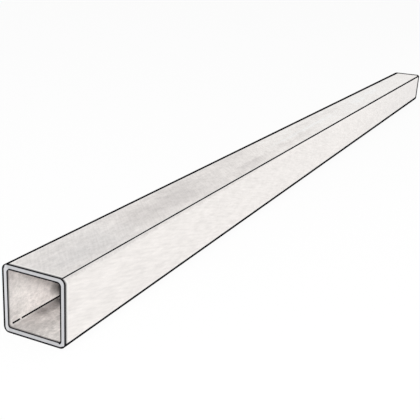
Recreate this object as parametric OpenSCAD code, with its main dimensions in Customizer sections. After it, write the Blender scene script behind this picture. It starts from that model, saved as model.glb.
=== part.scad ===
// Square steel tube, cut to length, lying flat on one face.
// X runs along the tube, Z is up, and the origin is the middle of the bottom face.

/* [Section] */
// Outside width and height of the square section
outside_width = 40; // [30:1:80]
// Thickness of each wall
wall = 3.2; // [2.4:0.2:5]
// Radius of the four outside corners
outside_radius = 3.5; // [2:0.5:5]
// Radius of the four inside corners
inside_radius = 1.5; // [1:0.5:3]

/* [Length] */
// Length from cut end to cut end
tube_length = 950; // [100:10:6000]

/* [Cut ends] */
// Width of the bevel that deburring leaves along the outer and inner edge of each cut
deburr = 0.4; // [0.1:0.1:0.5]

/* [Hidden] */
$fn = 64;
bore_width = outside_width - 2 * wall;
// How far the bore's solid runs on past each cut, still flaring
overrun = 1;

// Half of a bar's outline, from its middle line out to half_width.
// Along the last stretch before each end, the half width shrinks by bevel.
function half_outline(half_width, length, bevel) = [
    [-length / 2, 0],
    [-length / 2, half_width - bevel],
    [-length / 2 + abs(bevel), half_width],
    [length / 2 - abs(bevel), half_width],
    [length / 2, half_width - bevel],
    [length / 2, 0]
];

// One long corner of a bar: a round shaft along X, with a cone at each end
module corner_shaft(radius, length, bevel) {
    rotate([0, 90, 0])
        rotate_extrude()
            polygon([for (p = half_outline(radius, length, bevel)) [p.y, p.x]]);
}

// A solid square bar along X with round long corners, centred on the origin.
// A positive bevel narrows both ends, and a negative one flares them.
module round_cornered_bar(width, radius, length, bevel) {
    flat = width - 2 * radius;
    for (turn = [0:90:270])
        rotate([turn, 0, 0]) {
            linear_extrude(height = flat, center = true)
                polygon(half_outline(width / 2, length, bevel));
            translate([0, flat / 2, flat / 2])
                corner_shaft(radius, length, bevel);
        }
}

// The tube: an outer bar with narrowed ends, less a bore with flared ends
module square_tube() {
    color([0.86, 0.85, 0.83])
        translate([0, 0, outside_width / 2])
            difference() {
                round_cornered_bar(outside_width, outside_radius, tube_length, deburr);
                round_cornered_bar(bore_width, inside_radius, tube_length + 2 * overrun, -deburr - overrun);
            }
}

square_tube();
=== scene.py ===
import math
import bpy
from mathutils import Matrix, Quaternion, Vector


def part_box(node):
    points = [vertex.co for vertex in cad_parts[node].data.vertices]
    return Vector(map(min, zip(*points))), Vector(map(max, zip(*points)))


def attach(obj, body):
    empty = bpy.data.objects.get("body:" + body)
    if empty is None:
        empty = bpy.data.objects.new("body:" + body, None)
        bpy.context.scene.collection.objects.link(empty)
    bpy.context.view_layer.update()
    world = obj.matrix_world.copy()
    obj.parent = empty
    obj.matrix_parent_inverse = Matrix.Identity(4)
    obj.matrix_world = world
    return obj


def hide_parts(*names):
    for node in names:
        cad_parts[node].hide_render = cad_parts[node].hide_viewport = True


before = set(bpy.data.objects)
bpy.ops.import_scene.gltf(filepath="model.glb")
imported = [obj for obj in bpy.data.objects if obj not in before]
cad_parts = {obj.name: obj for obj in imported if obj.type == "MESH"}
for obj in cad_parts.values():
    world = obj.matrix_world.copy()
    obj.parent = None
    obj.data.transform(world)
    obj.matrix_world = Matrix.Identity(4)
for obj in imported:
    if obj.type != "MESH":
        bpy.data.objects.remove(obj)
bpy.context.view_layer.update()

tubeLow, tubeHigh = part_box("square_tube")
tubeLength = tubeHigh.x - tubeLow.x
tubeWidth = tubeHigh.y - tubeLow.y
axisHeight = (tubeLow.z + tubeHigh.z) / 2
print("frame loaded: tube", round(tubeLength, 4), "m long,", round(tubeWidth, 4), "m wide")


# An operator on values and its reflected form, so that 1 - mask works as well as mask - 1
def bothWays(operation):
    def forward(self, other):
        return self.math(operation, self, other)

    def reflected(self, other):
        return self.math(operation, other, self)

    return forward, reflected


# A socket that can be added, multiplied and so on, each adding one Math node
class Value:
    __add__, __radd__ = bothWays("ADD")
    __sub__, __rsub__ = bothWays("SUBTRACT")
    __mul__, __rmul__ = bothWays("MULTIPLY")
    __truediv__, __rtruediv__ = bothWays("DIVIDE")
    __pow__, __rpow__ = bothWays("POWER")
    __or__, __ror__ = bothWays("MAXIMUM")        # the larger of two
    __and__, __rand__ = bothWays("MINIMUM")      # the smaller of two

    def __init__(self, maker, socket):
        self.maker = maker
        self.socket = socket

    def math(self, operation, *terms):
        return self.maker.make("ShaderNodeMath", {"operation": operation}, dict(enumerate(terms)))

    def __neg__(self):
        return self.math("MULTIPLY", self, -1.0)

    def __abs__(self):
        return self.math("ABSOLUTE", self)


# What the finishes share
sharedLook = {
    "patternSlide": (-0.025, 0, 0),              # where every pattern lies along the tube, in metres
    "line": (0.006, 0.006, 0.007, 1),            # colour of the dark lines along the edges, and of the painted shade deep in the bore
    "lineRoughness": 0.4,                        # how much rougher they are than the metal
    "patchSpan": (1.5, 0.0),                     # squared distance where a soft patch ends and is full
    "axisSpan": (0.0, 0.001),                    # over what distance one half of the tube meets the other
}


# The node tree of a material or a world, and the one way that nodes get into it
class NodeTree:
    def __init__(self, owner):
        self.owner = owner
        owner.use_nodes = True
        self.tree = owner.node_tree
        self.tree.nodes.clear()

    def make(self, kind, settings, sockets, result=0):
        node = self.tree.nodes.new(kind)
        for name, setting in settings.items():
            setattr(node, name, setting)
        for name, given in sockets.items():
            if isinstance(given, Value):
                self.tree.links.new(given.socket, node.inputs[name])
            else:
                node.inputs[name].default_value = given
        return Value(self, node.outputs[result]) if node.outputs else None

    def outputsOf(self, kind, sockets, results):
        # several outputs of one new node
        node = self.make(kind, {}, sockets).socket.node
        return [Value(self, node.outputs[result]) for result in results]

    def place(self):                             # the point on the piece, in metres
        return self.make("ShaderNodeTexCoord", {}, {}, "Object")

    def noise(self, size, detail=2.0, roughness=0.5, offset=(0, 0, 0), turn=(0, 0, 0)):
        # size is the length, width and height of a typical patch, in metres, once turned
        scale = [1 / side for side in size]
        slide = sharedLook["patternSlide"]
        slid = self.make("ShaderNodeMapping", {}, {"Vector": self.place(), "Location": slide})
        turned = self.make("ShaderNodeMapping", {}, {"Vector": slid, "Rotation": turn})
        spread = self.make("ShaderNodeMapping", {}, {"Vector": turned, "Scale": scale, "Location": offset})
        sockets = {"Vector": spread, "Scale": 1.0, "Detail": detail, "Roughness": roughness}
        return self.make("ShaderNodeTexNoise", {}, sockets)

    def fade(self, value, span, full=1.0):
        # 0 before the span, full past it and smooth between; a span may run either way
        low, high = sorted(span)
        atLow, atHigh = (0.0, full) if span[0] < span[1] else (full, 0.0)
        sockets = {"Value": value, "From Min": low, "From Max": high, "To Min": atLow, "To Max": atHigh}
        return self.make("ShaderNodeMapRange", {"interpolation_type": "SMOOTHSTEP"}, sockets)

    def inside(self, distance, softness):        # 1 where a distance is below 0
        return self.fade(distance, (softness, -softness))

    def blend(self, share, first, second, how="MIX"):
        # colours: the first where share is 0, the second where it is 1.
        # A Mix node's colour sockets are inputs 6 and 7 and output 2.
        settings = {"data_type": "RGBA", "blend_type": how}
        return self.make("ShaderNodeMix", settings, {0: share, 6: first, 7: second}, 2)

    def toned(self, colour, tone):               # a colour made lighter or darker by a number
        grey = self.make("ShaderNodeCombineColor", {}, {0: tone, 1: tone, 2: tone})
        return self.blend(1.0, colour, grey, "MULTIPLY")

    def finishWith(self, colour, roughness, metallic, height, bumpDepth):
        bump = self.make("ShaderNodeBump", {}, {"Height": height, "Distance": bumpDepth, "Strength": 1.0})
        shader = self.make("ShaderNodeBsdfPrincipled", {}, {
            "Base Color": colour,
            "Roughness": roughness,
            "Metallic": metallic,
            "Normal": bump,
            "Specular IOR Level": 0.0,           # dark lines are matt, and the metal keeps its gloss
        })
        self.make("ShaderNodeOutputMaterial", {}, {"Surface": shader})
        return self.owner


def swing(pattern, reach):    # a pattern as a number that swings to both sides of 0
    return (pattern - 0.5) * reach


def choose(mask, inside, outside):               # one value where mask is 1, the other where it is 0
    return outside + mask * (inside - outside)


def shareSpan(width, shares):                    # a span that is given in shares of a width
    return [width * share for share in shares]


# Shape of the tube, in metres
tubeShape = {
    "wall": 0.0032,           # thickness of each wall
    "outsideRadius": 0.0035,  # the round long corners outside
    "insideRadius": 0.0015,   # and inside the bore
    "cornerSteps": 12,        # strips round each corner
    "deburr": 0.0004,         # rounding on both edges of each cut
    "deburrSteps": 3,
    "sharpAngle": 60,         # edges sharper than this, in degrees, are the cut's own
    "smoothAngle": 35,
    "mergeDistance": 0.000001,
    "cutTilt": 0.02,          # a face whose normal points this much along the tube is part of a cut
}
boreWidth = tubeWidth - 2 * tubeShape["wall"]


def addSquare(width):         # a square at the near cut, facing out of it
    centre = (tubeLow.x, 0, axisHeight)
    bpy.ops.mesh.primitive_plane_add(size=width, location=centre, rotation=(0, -math.pi / 2, 0))


def roundOutline(radius):     # rounds the selected square's corners and keeps only its outline
    bpy.ops.mesh.bevel(offset=radius, segments=tubeShape["cornerSteps"], affect="VERTICES")
    bpy.ops.mesh.delete(type="ONLY_FACE")


def modelTube():
    bpy.ops.object.select_all(action="DESELECT")
    addSquare(tubeWidth)
    tube = bpy.context.object
    tube.name = "squareTube"
    bpy.ops.object.transform_apply(location=True, rotation=True, scale=True)
    bpy.ops.object.mode_set(mode="EDIT")
    bpy.ops.mesh.select_all(action="SELECT")
    roundOutline(tubeShape["outsideRadius"])
    addSquare(boreWidth)
    roundOutline(tubeShape["insideRadius"])
    bpy.ops.mesh.select_all(action="SELECT")
    bpy.ops.mesh.bridge_edge_loops()             # the ring of the cut
    bpy.ops.mesh.select_all(action="SELECT")
    bpy.ops.mesh.extrude_region_move(TRANSFORM_OT_translate={"value": (tubeLength, 0, 0)})
    bpy.ops.mesh.select_all(action="SELECT")
    bpy.ops.mesh.remove_doubles(threshold=tubeShape["mergeDistance"])
    bpy.ops.mesh.normals_make_consistent(inside=False)
    bpy.ops.mesh.select_all(action="DESELECT")
    bpy.ops.mesh.select_mode(type="EDGE")
    bpy.ops.mesh.edges_select_sharp(sharpness=math.radians(tubeShape["sharpAngle"]))
    bpy.ops.mesh.bevel(offset=tubeShape["deburr"], segments=tubeShape["deburrSteps"], affect="EDGES")
    bpy.ops.object.mode_set(mode="OBJECT")
    bpy.ops.object.shade_smooth_by_angle(angle=math.radians(tubeShape["smoothAngle"]))
    bpy.ops.object.modifier_add(type="WEIGHTED_NORMAL")
    flatNormals = tube.modifiers[-1]             # keeps the flats flat beside the round corners
    flatNormals.keep_sharp = True
    bpy.ops.object.modifier_apply(modifier=flatNormals.name)
    return tube


def faceFinish(face):         # which of the tube's finishes a face wears
    reach = max(abs(face.center.y), abs(face.center.z - axisHeight))
    if abs(face.normal.x) > tubeShape["cutTilt"]:
        return "sawnSteel"
    if reach > (tubeWidth + boreWidth) / 4:      # further out than the middle of the wall
        return "dullZinc"
    return "boreSteel"


# Places, distances and patches that the finishes share
def tubePlace(finish):       # along from the near cut, and across and up from the tube's axis
    x, y, z = finish.outputsOf("ShaderNodeSeparateXYZ", {0: finish.place()}, ("X", "Y", "Z"))
    return x - tubeLow.x, y, z - axisHeight


def pastAxis(finish, distance):                  # 1 in one half of the tube and 0 in the other
    return finish.fade(distance, sharedLook["axisSpan"])


def roundSquareDistance(across, up, width, radius):
    # signed distance from a round-cornered square outline, below 0 inside it
    straight = width / 2 - radius
    right = abs(across) - straight
    high = abs(up) - straight
    cornerPart = ((right | 0.0) ** 2.0 + (high | 0.0) ** 2.0) ** 0.5
    return cornerPart + ((right | high) & 0.0) - radius


def lineAtCut(finish, fromCut, width):           # the dark line beside a cut, past its deburred edge
    return finish.fade((fromCut - tubeShape["deburr"]) / width, (1.0, 0.0))


def softPatches(finish, along, across, patches):
    # oval patches, each given as along, across, half length, half width and strength
    total = 0.0
    for middle, side, halfLength, halfWidth, strength in patches:
        distance = ((along - middle) / halfLength) ** 2.0 + ((across - side) / halfWidth) ** 2.0
        total = total + finish.fade(distance, sharedLook["patchSpan"], strength)
    return total


# Zinc on the outside walls: pale and warm, clouded, finely drawn along the tube
zincLook = {
    "pale": (0.962, 0.923, 0.893, 1),
    # grey of the clouds, also used for the painted shade on top
    "cloud": (0.741, 0.725, 0.720, 1),
    "brownCloud": (0.746, 0.710, 0.691, 1),
    # pale rubbed zinc, and the colour of the painted highlights and painted sheen
    "rubAndHighlight": (0.985, 0.970, 0.955, 1),
    "roughness": 0.42,
    "bumpDepth": 0.00004,

    # patterns, and how far each one moves the tone and the roughness
    "clouds": {"size": (0.09, 0.03, 0.03), "detail": 4.0, "roughness": 0.55},
    "smallClouds": {"size": (0.016, 0.007, 0.007), "detail": 3.0, "roughness": 0.6, "offset": (3, 1, 7)},
    "speckle": {"size": (0.0080, 0.0035, 0.0035), "detail": 5.0, "roughness": 0.85},
    "drawn": {"size": (0.25, 0.0009, 0.0009), "detail": 3.0, "roughness": 0.6},
    "wipedTop": {"size": (0.012, 0.0012, 0.0012), "roughness": 0.6, "turn": (0, 0, math.radians(-40))},
    "wipedSide": {"size": (0.014, 0.0014, 0.0014), "roughness": 0.6, "turn": (0, math.radians(-15), 0)},
    "smallCloudTone": 0.14,
    "topSpeckleTone": 0.66,
    "sideSpeckleTone": 0.20,
    "drawnTone": 0.10,
    "wipedTone": 0.26,
    "cloudRoughness": 0.15,
    "drawnRoughness": 0.12,

    # how much cloud there is; a span is in metres along the tube unless its note says otherwise
    "topSpan": (0.42, 0.47),  # where the top starts, in tube widths above the axis
    "brownSpan": (0.060, 0.100),                 # where the clouds on top turn brown
    # painted shade: the top darker towards the near cut
    "nearTopShade": {"span": (0.30, 0.15), "full": 0.15},
    "sideCloud": 0.21,
    "farSideCloud": {"span": (0.535, 0.911), "full": 0.24},
    "thickCloud": {"span": (0.48, 0.75), "full": 0.12},          # a span of the clouds pattern
    "greyPatchSpread": (0.05, 0.02),                 # how far patterns push the grey patches, along and across
    "greyPatches": [               # soft grey patches on top
        (0.090, -0.002, 0.110, 0.024, 0.30),
        (0.227, -0.001, 0.110, 0.030, 0.36),
        (0.045, -0.007, 0.025, 0.009, 0.16),
        (0.104, -0.003, 0.028, 0.011, 0.40),
        (0.148, -0.0035, 0.030, 0.010, 0.40),
        (0.180, 0.007, 0.030, 0.006, 0.15),
        (0.276, -0.010, 0.032, 0.006, 0.50),
        (0.281, 0.011, 0.030, 0.005, 0.30),
        (0.382, -0.010, 0.060, 0.004, 0.40),
        (0.459, 0.006, 0.050, 0.003, 0.40),
        (0.531, 0.006, 0.060, 0.005, 0.25),
    ],

    # pale streaks and patches on top, partly rubbed zinc and partly painted sheen, and how much cloud they
    # take away
    "farSheen": {"span": (0.246, 0.583), "full": 0.4},
    "streakSpread": (0.03, 0.004),
    "sheenAndRubs": [
        (0.430, -0.0025, 0.110, 0.0020, 0.8),
        (0.640, -0.001, 0.030, 0.005, 0.8),
        (0.711, 0.001, 0.030, 0.005, 0.8),
    ],
    "paleClears": 0.6,
}


# Dark lines outside: one along each long corner and one round each cut.
# Lean is 0 in a corner's middle, more towards the top or bottom, and less towards a side.
outsideLines = {
    "ridgeLean": 0.0018,      # where the front top and back bottom lines start, as lean, in metres
    "ridgeDrift": -0.0028,    # how far they drift towards the side in a metre
    "ridgeHalf": 0.00055,     # half their width at the near cut
    "ridgeGrowth": 2.0,       # how much wider they get in a metre, in widths
    "wideStart": 0.0009,      # where the two other, wider lines start, as lean
    "backTopEnd": 0.0042,     # where each ends at the near cut
    "backTopGrowth": 0.0036,  # and how much further on it ends a metre along
    "frontBottomEnd": -0.0034,
    "frontBottomGrowth": -0.0026,
    "wander": {"size": (0.020, 0.004, 0.004), "offset": (5, 5, 5)},
    "wanderReach": 0.0003,
    "softness": 0.00012,
    "margin": 0.0006,         # width of the painted highlight strip beside a corner's line
    "marginSoftness": 0.0003,
    "highlightCutSpan": (0.0032, 0.0022),           # where the painted highlight strip beside the near cut ends
    "highlightShare": 0.8,
    "nearCut": 0.0024,        # width of the line at the near cut
    "nearCutTop": 0.0018,     # and on the top
    "farCut": 0.0030,         # width at the far cut, on the back and the bottom
    "farOutline": 0.0092,     # on the front and the top
    "farTopExtra": 0.0018,    # and this much more on the top
    "farFade": (1.2, 0.8),    # where it ends, in its own widths
    "outlineSpan": (0.05, 0.10),                 # where the front and the top start, in tube widths
}


def drawOutsideLines(finish, along, across, up, isTop):
    # how much of the dark line, and how much of the painted highlight strip beside it
    look = outsideLines
    lean = abs(up) - abs(across)
    ridgeLean = look["ridgeLean"] + along * look["ridgeDrift"]
    offRidge = abs(lean - ridgeLean) - look["ridgeHalf"] * (1.0 + along * look["ridgeGrowth"])
    backTopEnd = look["backTopEnd"] + along * look["backTopGrowth"]
    offBackTop = (look["wideStart"] - lean) | (lean - backTopEnd)
    frontBottomEnd = look["frontBottomEnd"] + along * look["frontBottomGrowth"]
    offFrontBottom = (lean - look["wideStart"]) | (frontBottomEnd - lean)

    upper = pastAxis(finish, up)
    back = pastAxis(finish, across)
    offLine = choose((1.0 - upper) * (1.0 - back), offFrontBottom, offRidge)
    offLine = choose(upper * back, offBackTop, offLine)
    offLine = offLine + swing(finish.noise(**look["wander"]), look["wanderReach"])
    cornerLine = finish.inside(offLine, look["softness"])

    nearLine = lineAtCut(finish, along, choose(isTop, look["nearCutTop"], look["nearCut"]))
    frontOrTop = finish.fade(up - across, shareSpan(tubeWidth, look["outlineSpan"]))
    farWidth = choose(frontOrTop, look["farOutline"], look["farCut"]) + isTop * look["farTopExtra"]
    farLine = finish.fade((tubeLength - along) / farWidth, look["farFade"])

    besideLine = finish.inside(offLine - look["margin"], look["marginSoftness"])
    besideCut = finish.fade(along, look["highlightCutSpan"])
    return cornerLine | nearLine | farLine, (besideLine | besideCut) * look["highlightShare"]


def clouded(finish, along, across, isTop, clouds, smallClouds):
    # the zinc's colour before its fine tones: clouds, grey patches and painted shade over pale metal, and
    # on top pale rubbed streaks with painted sheen
    patchAlong = along + swing(clouds, zincLook["greyPatchSpread"][0])
    patchAcross = across + swing(smallClouds, zincLook["greyPatchSpread"][1])
    streakAlong = along + swing(clouds, zincLook["streakSpread"][0])
    streakAcross = across + swing(smallClouds, zincLook["streakSpread"][1])
    # painted sheen: the top paler further along, with the pale streaks and patches added
    sheenAndRubs = finish.fade(along, **zincLook["farSheen"])
    sheenAndRubs = (sheenAndRubs + softPatches(finish, streakAlong, streakAcross, zincLook["sheenAndRubs"])) & 1.0
    topCloudAndShade = softPatches(finish, patchAlong, patchAcross, zincLook["greyPatches"])
    # painted shade darkens the top towards the near cut
    topCloudAndShade = topCloudAndShade + finish.fade(along, **zincLook["nearTopShade"])
    topCloudAndShade = topCloudAndShade * (1.0 - sheenAndRubs * zincLook["paleClears"])
    sideCloud = zincLook["sideCloud"] + finish.fade(along, **zincLook["farSideCloud"])
    cloudShare = choose(isTop, topCloudAndShade, sideCloud) + finish.fade(clouds, **zincLook["thickCloud"])

    metal = finish.blend(isTop * sheenAndRubs, zincLook["pale"], zincLook["rubAndHighlight"])
    brown = isTop * finish.fade(along, zincLook["brownSpan"])
    cloud = finish.blend(brown, zincLook["cloud"], zincLook["brownCloud"])
    return finish.blend(cloudShare & 1.0, metal, cloud)


def dullZinc():
    finish = NodeTree(bpy.data.materials.new("dullZinc"))
    along, across, up = tubePlace(finish)
    isTop = finish.fade(up, shareSpan(tubeWidth, zincLook["topSpan"]))
    clouds = finish.noise(**zincLook["clouds"])
    smallClouds = finish.noise(**zincLook["smallClouds"])
    speckle = finish.noise(**zincLook["speckle"])
    drawn = finish.noise(**zincLook["drawn"])
    wiped = choose(isTop, finish.noise(**zincLook["wipedTop"]), finish.noise(**zincLook["wipedSide"]))

    speckleTone = choose(isTop, zincLook["topSpeckleTone"], zincLook["sideSpeckleTone"])
    tone = 1.0 + swing(smallClouds, zincLook["smallCloudTone"]) + swing(speckle, speckleTone)
    tone = tone + swing(drawn, zincLook["drawnTone"]) + swing(wiped, zincLook["wipedTone"])
    colour = finish.toned(clouded(finish, along, across, isTop, clouds, smallClouds), tone)

    darkLine, rubAndHighlight = drawOutsideLines(finish, along, across, up, isTop)
    # a painted highlight strip beside the dark lines
    colour = finish.blend(rubAndHighlight, colour, zincLook["rubAndHighlight"])
    colour = finish.blend(darkLine, colour, sharedLook["line"])
    roughness = zincLook["roughness"] + swing(clouds, zincLook["cloudRoughness"])
    roughness = roughness + swing(drawn, zincLook["drawnRoughness"])
    roughness = roughness + darkLine * sharedLook["lineRoughness"]
    height = (drawn + speckle) / 2
    return finish.finishWith(colour, roughness, 1.0 - darkLine, height, zincLook["bumpDepth"])


# Steel inside the bore: matt, pale and warm, with painted shade, and a dark line in each corner
boreLook = {
    # paler deeper in and darker at the mouth: painted light that evens out the light falling off inside
    # the bore
    "nearMouth": (0.768, 0.735, 0.710, 1),
    "deep": (0.965, 0.908, 0.878, 1),
    "deepSpan": (0.008, 0.035),                  # where one turns into the other, in metres from a cut
    "deepSpread": 0.02,
    # colour of the painted shade in the bore
    "paintedShade": (0.40, 0.37, 0.36, 1),
    "roughness": 0.75,
    "metallic": 0.0,          # matt scale covers the metal
    "bumpDepth": 0.00005,
    "blotches": {"size": (0.010, 0.006, 0.006), "detail": 4.0, "roughness": 0.65},
    "speckle": {"size": (0.0030, 0.0020, 0.0020), "detail": 4.0, "roughness": 0.8, "offset": (2, 2, 2)},
    "blotchTone": 0.50,
    "speckleTone": 1.00,
    "floorTone": 0.12,        # how much darker the floor is than the walls, painted shade
    "blotchRoughness": 0.2,
    "shadeStart": 0.0436,     # how deep in the bore its dark shade starts
    "shadeLength": 0.036,     # over what length it gets dark
    "backShadeLength": 0.0030,                   # and on the back wall
    "backSpan": (0.47, 0.49), # where the back wall starts, in bore widths from the axis
    "floorSpan": (-0.0003, 0.0003),              # how the floor meets the walls, as distance from the line

    # the lines in the corners, and the ones beside the cuts
    "lineLean": -0.0010,      # where a corner's dark line starts, as lean
    "lineDrift": 0.013,       # how far it drifts towards the floor or the top in a metre
    "driftEnd": 0.05,         # but only this deep in the bore
    "lineHalf": 0.00062,
    "lineSoftness": 0.0001,
    "lineFrom": (0.0030, 0.0038),                # where it starts, in metres from a cut
    "penLift": 0.0103,        # and where it breaks off for a moment
    "liftSpan": (0.0003, 0.0011),                # gone this near to there, and whole this far off
    "floorCutLine": 0.0020,
    "wallCutLine": 0.0019,
}


# Painted shade in the bore, given in metres from a cut, from the corner at the back, or up from the axis
paintedShadeLook = {
    "cornerSpread": 0.012,
    "cornerSpan": (0.015, 0.005),                # dark painted shade on the floor by the corner
    "cornerShare": 0.44,
    "cornerDeepening": {"span": (0.012, 0.028), "full": 0.30},
    "cornerDepthShare": 0.22,
    "floor": {"span": (0.024, 0.013), "full": 0.46},             # and paler painted shade further from it
    "floorClears": 0.5,
    "mouth": {"span": (0.013, 0.0), "full": 0.45},               # on the walls, near a cut
    "mouthSpread": 0.004,
    "top": {"span": (0.007, 0.014), "full": 0.42},               # and high up, more so further in: a painted shadow of the mouth's top edge
    "topSpread": 0.016,
    "topSlope": 0.50,
    "wallBlots": [(0.0440, -0.0090, 0.0085, 0.0058, 0.83)],      # a dark painted patch of shade on the back wall
    "floorBlots": [(0.0245, 0.0138, 0.0050, 0.0036, 0.16)],      # and one on the floor
    "blotSpread": 0.006,
    "floorEnd": {"span": (0.033, 0.043), "full": 0.55},          # darker still where the shade starts
    "wallEnd": {"span": (0.039, 0.044), "full": 0.35},
}


def paintBoreShade(finish, fromCut, across, up, onFloor, depth, blotches):
    # how much of the painted shade colour, and how much darker again
    look = paintedShadeLook
    fromCorner = boreWidth / 2 - across + swing(blotches, look["cornerSpread"])
    atCorner = finish.fade(fromCorner, look["cornerSpan"])
    deepening = finish.fade(fromCut, **look["cornerDeepening"]) + depth * look["cornerDepthShare"]
    cornerShade = atCorner * (look["cornerShare"] + deepening)
    floorShade = finish.fade(fromCorner, **look["floor"]) * (1.0 - depth * look["floorClears"])

    mouthShade = finish.fade(fromCut + swing(blotches, look["mouthSpread"]), **look["mouth"])
    height = up + fromCut * look["topSlope"] + swing(blotches, look["topSpread"])
    topShadow = finish.fade(height, **look["top"])
    push = swing(blotches, look["blotSpread"])
    wallBlot = softPatches(finish, fromCut + push, up, look["wallBlots"]) * pastAxis(finish, across)
    floorBlot = softPatches(finish, fromCut + push, across + push, look["floorBlots"])

    paintedShade = choose(onFloor, cornerShade | floorShade, (mouthShade + topShadow) | wallBlot)
    floorEnd = finish.fade(fromCut, **look["floorEnd"]) * atCorner
    wallEnd = finish.fade(fromCut, **look["wallEnd"]) * wallBlot
    return paintedShade, choose(onFloor, floorBlot + floorEnd, wallEnd)


def drawBoreLines(finish, fromCut, offLine, onFloor):
    cornerLine = finish.inside(abs(offLine) - boreLook["lineHalf"], boreLook["lineSoftness"])
    cornerLine = cornerLine * finish.fade(abs(fromCut - boreLook["penLift"]), boreLook["liftSpan"])
    cornerLine = cornerLine * finish.fade(fromCut, boreLook["lineFrom"])
    cutWidth = choose(onFloor, boreLook["floorCutLine"], boreLook["wallCutLine"])
    return cornerLine | lineAtCut(finish, fromCut, cutWidth)


def boreShade(finish, fromCut, across, onFloor):
    backWall = finish.fade(across, shareSpan(boreWidth, boreLook["backSpan"])) * (1.0 - onFloor)
    length = choose(backWall, boreLook["backShadeLength"], boreLook["shadeLength"])
    return finish.fade((fromCut - boreLook["shadeStart"]) / length, (0.0, 1.0))


def boreSteel():
    finish = NodeTree(bpy.data.materials.new("boreSteel"))
    along, across, up = tubePlace(finish)
    fromCut = along & (tubeLength - along)       # how far a point is from the nearer cut
    blotches = finish.noise(**boreLook["blotches"])
    speckle = finish.noise(**boreLook["speckle"])
    depth = finish.fade(fromCut + swing(blotches, boreLook["deepSpread"]), boreLook["deepSpan"])
    lineLean = boreLook["lineLean"] + (fromCut & boreLook["driftEnd"]) * boreLook["lineDrift"]
    offLine = abs(up) - abs(across) - lineLean
    onFloor = pastAxis(finish, -up) * finish.fade(offLine, boreLook["floorSpan"])

    paintedShade, extraShade = paintBoreShade(finish, fromCut, across, up, onFloor, depth, blotches)
    colour = finish.blend(depth, boreLook["nearMouth"], boreLook["deep"])
    colour = finish.blend(paintedShade, colour, boreLook["paintedShade"])
    tone = 1.0 - onFloor * boreLook["floorTone"] - extraShade
    tone = tone + swing(blotches, boreLook["blotchTone"]) + swing(speckle, boreLook["speckleTone"])
    colour = finish.toned(colour, tone)

    dark = drawBoreLines(finish, fromCut, offLine, onFloor) | boreShade(finish, fromCut, across, onFloor)
    colour = finish.blend(dark, colour, sharedLook["line"])
    roughness = boreLook["roughness"] + swing(blotches, boreLook["blotchRoughness"])
    return finish.finishWith(colour, roughness, boreLook["metallic"], speckle, boreLook["bumpDepth"])


# Bare steel of the two cuts: blue-grey, with fine saw marks and dark rims
cutLook = {
    "steel": (0.603, 0.605, 0.624, 1),
    "roughness": 0.38,
    "bumpDepth": 0.00003,
    "sawMarks": {"size": (0.01, 0.00022, 0.02), "roughness": 0.6},
    "patches": {"size": (0.01, 0.004, 0.004)},
    "sawTone": 0.22,
    "patchTone": 0.12,
    "sawRoughness": 0.2,
    "backTone": 0.19,         # how much paler the ring's back side is, a painted highlight
    "frontTone": 0.06,        # and its front side
    "sideSpan": (0.47, 0.51), # where those sides start, in bore widths from the axis
    "rimSoftness": 0.0001,
    "outerRim": 0.0005,       # how far the outer dark rim comes in over the ring
    "outerRimBottom": 0.0012,
    "outerRimBack": 0.0014,
    "outerSpan": (0.43, 0.46),                   # where those two start, in tube widths from the axis
    "innerRim": 0.0002,       # how far the one round the bore goes out
    "innerRimFront": 0.0010,
    "innerRimTop": 0.0010,
    "innerSpan": (0.455, 0.495),                 # where those two start, in bore widths
    "innerTopSpan": (0.0165, 0.0150),            # and where the one on top ends, in metres
}


def cutRims(finish, across, up):                 # how much of the dark rims
    look = cutLook
    outerSpan = shareSpan(tubeWidth, look["outerSpan"])
    innerSpan = shareSpan(boreWidth, look["innerSpan"])
    backRim = finish.fade(across, outerSpan, look["outerRimBack"])
    bottomRim = finish.fade(-up, outerSpan, look["outerRimBottom"])
    frontRim = finish.fade(-across, innerSpan, look["innerRimFront"])
    topRim = finish.fade(up, innerSpan, look["innerRimTop"]) * finish.fade(across, look["innerTopSpan"])
    outer = backRim | bottomRim | look["outerRim"]
    inner = frontRim | topRim | look["innerRim"]
    fromOutside = -roundSquareDistance(across, up, tubeWidth, tubeShape["outsideRadius"])
    fromBore = roundSquareDistance(across, up, boreWidth, tubeShape["insideRadius"])
    outerLine = finish.inside(fromOutside - outer, look["rimSoftness"])
    return outerLine | finish.inside(fromBore - inner, look["rimSoftness"])


def sawnSteel():
    finish = NodeTree(bpy.data.materials.new("sawnSteel"))
    across, up = tubePlace(finish)[1:]
    sawMarks = finish.noise(**cutLook["sawMarks"])
    patches = finish.noise(**cutLook["patches"])
    sideSpan = shareSpan(boreWidth, cutLook["sideSpan"])
    tone = 1.0 + finish.fade(across, sideSpan, cutLook["backTone"])
    tone = tone + finish.fade(-across, sideSpan, cutLook["frontTone"])
    tone = tone + swing(sawMarks, cutLook["sawTone"]) + swing(patches, cutLook["patchTone"])
    rim = cutRims(finish, across, up)
    colour = finish.blend(rim, finish.toned(cutLook["steel"], tone), sharedLook["line"])
    roughness = cutLook["roughness"] + swing(sawMarks, cutLook["sawRoughness"])
    roughness = roughness + rim * sharedLook["lineRoughness"]
    return finish.finishWith(colour, roughness, 1.0 - rim, sawMarks, cutLook["bumpDepth"])


tube = modelTube()
for makeFinish in (dullZinc, boreSteel, sawnSteel):
    tube.data.materials.append(makeFinish())
for face in tube.data.polygons:
    face.material_index = tube.data.materials.find(faceFinish(face))
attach(tube, "root")
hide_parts("square_tube")
print("tube modelled:", len(tube.data.polygons), "faces")


# Floor: plain and nearly white, and it keeps the tube's shadow
floorLook = {
    "size": 40.0,             # metres
    "colour": (0.80, 0.80, 0.80, 1),
    "lift": 0.90,             # how much of what the camera and the metal see of it is plain white
    "white": 1.0,             # the strength at which that is plain white
}


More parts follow.
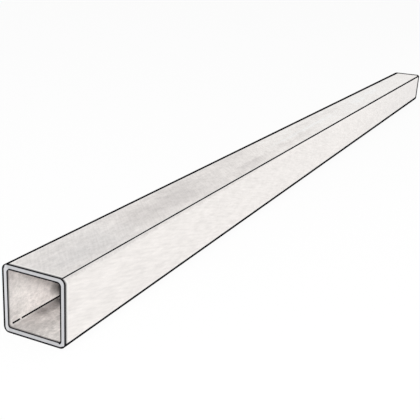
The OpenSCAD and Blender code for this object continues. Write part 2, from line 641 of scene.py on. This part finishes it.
def layFloor():
    bpy.ops.object.select_all(action="DESELECT")
    bpy.ops.mesh.primitive_plane_add(size=floorLook["size"], location=(0, 0, tubeLow.z))
    floor = bpy.context.object
    floor.name = "floor"
    finish = NodeTree(bpy.data.materials.new("paleFloor"))
    rays = ("Is Camera Ray", "Is Glossy Ray", "Is Transmission Ray")
    camera, glossy, through = finish.outputsOf("ShaderNodeLightPath", {}, rays)
    lifted = (camera | glossy | through) * floorLook["lift"]
    matt = finish.make("ShaderNodeBsdfDiffuse", {}, {"Color": floorLook["colour"]})
    white = finish.make("ShaderNodeEmission", {}, {"Strength": floorLook["white"]})
    mixed = finish.make("ShaderNodeMixShader", {}, {0: lifted, 1: matt, 2: white})
    finish.make("ShaderNodeOutputMaterial", {}, {"Surface": mixed})
    floor.data.materials.append(finish.owner)


layFloor()
print("floor laid")


# Light: an even pale surround, a little dimmer overhead, and two soft lamps
lightLook = {
    "colour": (1, 1, 1, 1),
    "horizon": 1.0,           # the surround's strength low down
    "overhead": 0.75,         # and overhead
    "dimSpan": (0.15, 0.75),  # between which heights it dims, where 1 is straight up
    "key": {"place": (-1.725, -0.80, 0.78), "size": 0.35, "watts": 30},
    "fill": {"place": (1.2, -0.9, 0.9), "size": 1.2, "watts": 2},
}


def lightSurround():
    surround = NodeTree(bpy.data.worlds.new("surround"))
    bpy.context.scene.world = surround.owner
    direction = surround.make("ShaderNodeTexCoord", {}, {}, "Generated")
    height = surround.make("ShaderNodeSeparateXYZ", {}, {0: direction}, "Z")
    dimmed = surround.fade(height, lightLook["dimSpan"])
    strength = choose(dimmed, lightLook["overhead"], lightLook["horizon"])
    sockets = {"Color": lightLook["colour"], "Strength": strength}
    background = surround.make("ShaderNodeBackground", {}, sockets)
    surround.make("ShaderNodeOutputWorld", {}, {"Surface": background})


def hangLamp(name, look):
    place = Vector(look["place"])
    bpy.ops.object.light_add(type="AREA", location=place)
    lamp = bpy.context.object
    lamp.name = name
    lamp.data.shape = "SQUARE"
    lamp.data.size = look["size"]
    lamp.data.energy = look["watts"]
    lamp.visible_glossy = False                  # the metal mirrors the even surround alone
    lamp.rotation_euler = (-place).to_track_quat("-Z", "Y").to_euler()


lightSurround()
hangLamp("keyLamp", lightLook["key"])
hangLamp("fillLamp", lightLook["fill"])
print("lights hung")


# Camera, close to the near cut and looking down along the tube
cameraLook = {
    "place": (-0.7556, -0.2247, 0.1953),
    "lens": 63.77,            # millimetres
    "sensor": 36,             # millimetres
    "nearest": 0.01,          # metres
    "yaw": 24.41,             # degrees from +X towards +Y
    "pitch": -18.54,
    "roll": 3.42,
}


def setCamera():
    yaw = math.radians(cameraLook["yaw"])
    pitch = math.radians(cameraLook["pitch"])
    ahead = Vector((math.cos(pitch) * math.cos(yaw), math.cos(pitch) * math.sin(yaw), math.sin(pitch)))
    roll = Quaternion((0, 0, 1), math.radians(cameraLook["roll"]))
    bpy.ops.object.camera_add(location=cameraLook["place"])
    camera = bpy.context.object
    camera.rotation_euler = (ahead.to_track_quat("-Z", "Y") @ roll).to_euler()
    camera.data.lens = cameraLook["lens"]
    camera.data.sensor_width = cameraLook["sensor"]
    camera.data.clip_start = cameraLook["nearest"]
    bpy.context.scene.camera = camera


setCamera()
bpy.context.scene.view_settings.view_transform = "Standard"
print("camera set")
